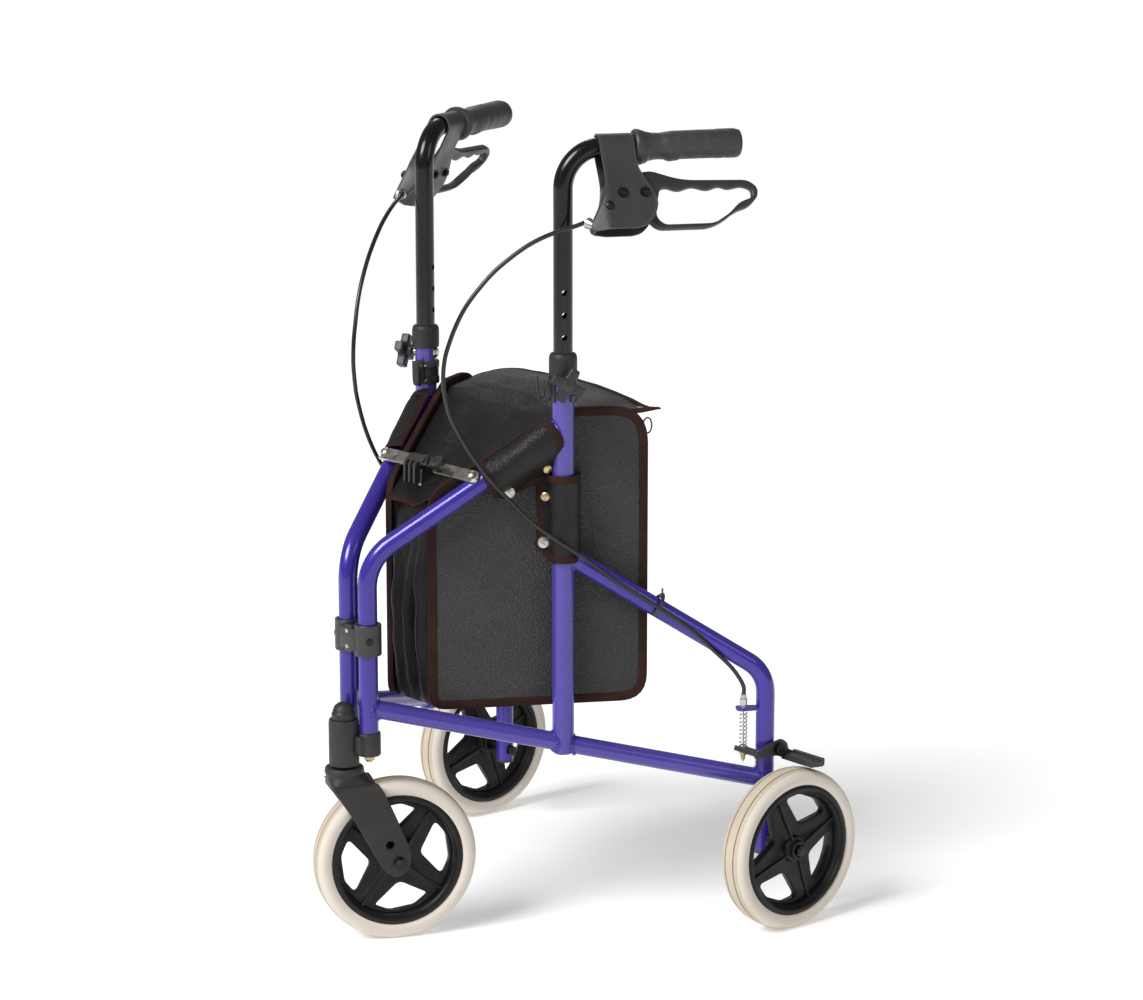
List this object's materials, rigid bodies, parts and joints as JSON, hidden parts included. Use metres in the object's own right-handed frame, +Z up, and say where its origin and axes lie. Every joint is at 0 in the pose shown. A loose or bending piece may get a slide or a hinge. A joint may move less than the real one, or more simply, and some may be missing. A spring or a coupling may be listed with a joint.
{
  "type": "rollator walker",
  "caption": "Folding three-wheeled walker: two hinged tube frames on a swivel caster, height-adjustable handles, loop brakes and a bag.",
  "frame": {"origin": "centre of the whole part's box, on the floor that the three tyres stand on", "axes": "+Z up; -Y is the front, where the caster is; +X is the user's left"},
  "size_m": [0.6238, 0.5579, 0.9301],
  "materials": {
    "frame_paint": "gloss",
    "black_paint": "gloss",
    "grey_plastic": "satin moulded",
    "black_plastic": "satin moulded",
    "grip_rubber": "matte moulded rubber",
    "brake_plate": "satin powder coat",
    "dark_bolt": "black oxide",
    "cable_sheath": "gloss sheath",
    "nickel": "nickel plated",
    "brass": "yellow passivated",
    "vinyl": "grained vinyl",
    "binding": "woven tape",
    "rim_plastic": "satin moulded",
    "tyre_cream": "matte solid tyre"
  },
  "bodies": {
    "root": {"caster_bracket": "grey_plastic", "hinge_clamp": "grey_plastic", "caster_cap": "grey_plastic", "post_bolt_left": "brass", "post_bolt_right": "brass", "bag_shell": "vinyl", "bag_lid": "vinyl"},
    "frame_left": {"front_tube_left": "frame_paint", "upright_tube_left": "frame_paint", "lower_tube_left": "frame_paint", "rear_tube_left": "frame_paint", "height_collar_left": "grey_plastic", "hook_clip_left": "black_plastic", "brake_cable_left": "cable_sheath", "cable_stop_left": "frame_paint", "brake_spring_left": "nickel", "brace_pin_left": "nickel", "bag_panel_left": "vinyl", "rear_axle_left": "dark_bolt", "brake_pivot_bolt_left": "dark_bolt"},
    "handle_left": {"handle_tube_left": "black_paint", "grip_left": "grip_rubber", "brake_housing_left": "brake_plate", "lever_pin_left": "dark_bolt"},
    "lever_left": {"brake_lever_left": "black_plastic"},
    "knob_left": {"height_knob_left": "black_plastic"},
    "brake_left": {"brake_arm_left": "black_plastic"},
    "wheel_left": {"rear_rim_left": "rim_plastic", "rear_tyre_left": "tyre_cream"},
    "link_left": {"brace_link_left": "nickel"},
    "frame_right": {"front_tube_right": "frame_paint", "upright_tube_right": "frame_paint", "lower_tube_right": "frame_paint", "rear_tube_right": "frame_paint", "height_collar_right": "grey_plastic", "hook_clip_right": "black_plastic", "brake_cable_right": "cable_sheath", "cable_stop_right": "frame_paint", "brake_spring_right": "nickel", "brace_pin_right": "nickel", "bag_panel_right": "vinyl", "rear_axle_right": "dark_bolt", "brake_pivot_bolt_right": "dark_bolt"},
    "handle_right": {"handle_tube_right": "black_paint", "grip_right": "grip_rubber", "brake_housing_right": "brake_plate", "lever_pin_right": "dark_bolt"},
    "lever_right": {"brake_lever_right": "black_plastic"},
    "knob_right": {"height_knob_right": "black_plastic"},
    "brake_right": {"brake_arm_right": "black_plastic"},
    "wheel_right": {"rear_rim_right": "rim_plastic", "rear_tyre_right": "tyre_cream"},
    "link_right": {"brace_link_right": "nickel", "brace_clip": "black_plastic"},
    "caster": {"caster_fork": "grey_plastic", "caster_stem": "nickel", "front_axle": "dark_bolt"},
    "front_wheel": {"front_rim": "rim_plastic", "front_tyre": "tyre_cream"}
  },
  "joints": [
    {"name": "fold_left", "type": "hinge", "parent": "root", "child": "frame_left", "pos_m": [0.0186, -0.21885, 0.2494], "axis": [0, 0, 1], "range_deg": [0, 25], "deforming": ["bag_shell", "bag_lid"]},
    {"name": "brace_fold_left", "type": "hinge", "parent": "frame_left", "child": "link_left", "pos_m": [0.08027, -0.11672, 0.54332], "axis": [0, -0.5934, 0.8049], "range_deg": [0, 48.66]},
    {"name": "height_left", "type": "slide", "parent": "frame_left", "child": "handle_left", "axis": [0, 0, 1], "range_m": [-0.0762, 0.0254], "deforming": ["brake_cable_left"]},
    {"name": "brake_squeeze_left", "type": "hinge", "parent": "handle_left", "child": "lever_left", "pos_m": [0.18945, 0.0415, 0.85658], "axis": [0.7987, -0.375, 0.4706], "range_deg": [0, 10], "stiffness_Nm_per_rad": 4, "springref_deg": -2.86},
    {"name": "knob_turn_left", "type": "hinge", "parent": "frame_left", "child": "knob_left", "pos_m": [0.14971, -0.03429, 0.6469], "axis": [0.8742, -0.4856, 0], "continuous": true},
    {"name": "brake_apply_left", "type": "hinge", "parent": "frame_left", "child": "brake_left", "pos_m": [0.2599, 0.19279, 0.2074], "axis": [-1, 0, 0], "range_deg": [0, 12], "deforming": ["brake_spring_left"]},
    {"name": "rear_wheel_spin_left", "type": "hinge", "parent": "frame_left", "child": "wheel_left", "pos_m": [0.2879, 0.18679, 0.0944], "axis": [1, 0, 0], "continuous": true},
    {"name": "fold_right", "type": "hinge", "parent": "root", "child": "frame_right", "pos_m": [-0.0186, -0.21885, 0.2494], "axis": [0, 0, -1], "range_deg": [0, 25]},
    {"name": "brace_fold_right", "type": "hinge", "parent": "frame_right", "child": "link_right", "pos_m": [-0.08027, -0.11672, 0.54332], "axis": [0, 0.5934, -0.8049], "range_deg": [0, 48.66]},
    {"name": "height_right", "type": "slide", "parent": "frame_right", "child": "handle_right", "axis": [0, 0, 1], "range_m": [-0.0762, 0.0254], "deforming": ["brake_cable_right"]},
    {"name": "brake_squeeze_right", "type": "hinge", "parent": "handle_right", "child": "lever_right", "pos_m": [-0.18945, 0.0415, 0.85658], "axis": [-0.7987, -0.375, 0.4706], "range_deg": [0, 10], "stiffness_Nm_per_rad": 4, "springref_deg": -2.86},
    {"name": "knob_turn_right", "type": "hinge", "parent": "frame_right", "child": "knob_right", "pos_m": [-0.14971, -0.03429, 0.6469], "axis": [-0.8742, -0.4856, 0], "continuous": true},
    {"name": "brake_apply_right", "type": "hinge", "parent": "frame_right", "child": "brake_right", "pos_m": [-0.2599, 0.19279, 0.2074], "axis": [-1, 0, 0], "range_deg": [0, 12], "deforming": ["brake_spring_right"]},
    {"name": "rear_wheel_spin_right", "type": "hinge", "parent": "frame_right", "child": "wheel_right", "pos_m": [-0.2879, 0.18679, 0.0944], "axis": [1, 0, 0], "continuous": true},
    {"name": "caster_swivel", "type": "hinge", "parent": "root", "child": "caster", "pos_m": [0, -0.24085, 0.2294], "axis": [0, 0, 1], "continuous": true},
    {"name": "front_wheel_spin", "type": "hinge", "parent": "caster", "child": "front_wheel", "pos_m": [0.02259, -0.18742, 0.0944], "axis": [0.9211, -0.3894, 0], "continuous": true}
  ],
  "couplings": [
    {"joint": "brace_fold_left", "follows": "fold_left", "ratio": 1.9459},
    {"joint": "brake_apply_left", "follows": "brake_squeeze_left", "ratio": 1.2},
    {"joint": "fold_right", "follows": "fold_left", "ratio": 1},
    {"joint": "brace_fold_right", "follows": "fold_left", "ratio": 1.9459},
    {"joint": "brake_apply_right", "follows": "brake_squeeze_right", "ratio": 1.2}
  ]
}
